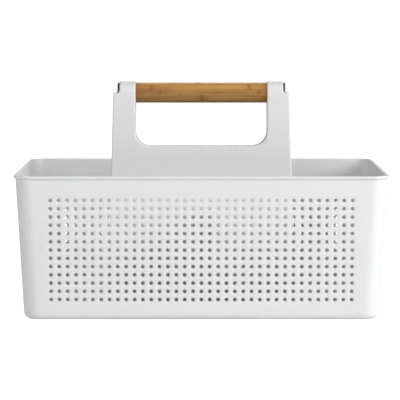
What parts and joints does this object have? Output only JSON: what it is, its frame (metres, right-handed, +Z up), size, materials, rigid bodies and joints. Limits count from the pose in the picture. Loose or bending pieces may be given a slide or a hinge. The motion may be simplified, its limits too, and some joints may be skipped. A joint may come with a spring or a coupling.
{
  "type": "shower caddy",
  "caption": "Open rectangular plastic tub with perforated tapered walls, a centre panel and a low cross rib dividing it, and a round bamboo bar across its top as the carrying handle.",
  "frame": {"origin": "centre of the footprint, on the plane that the foot ring stands on", "axes": "+X along the long side and the handle bar, +Y from the front wall to the rear wall, +Z up"},
  "size_m": [0.3824, 0.254, 0.2395],
  "materials": {
    "white_plastic": "satin moulded polypropylene",
    "bamboo": "clear-lacquered caramelised bamboo, grain along the bar",
    "screw_steel": "zinc plated"
  },
  "bodies": {
    "basket": {"tub": "white_plastic", "frame_front_shell": "white_plastic", "frame_rear_shell": "white_plastic", "frame_screws": "screw_steel"},
    "grip": {"bamboo_grip": "bamboo"}
  },
  "joints": [
    {"name": "grip_turn", "type": "hinge", "parent": "basket", "child": "grip", "pos_m": [0, 0, 0.227], "axis": [1, 0, 0], "continuous": true}
  ]
}
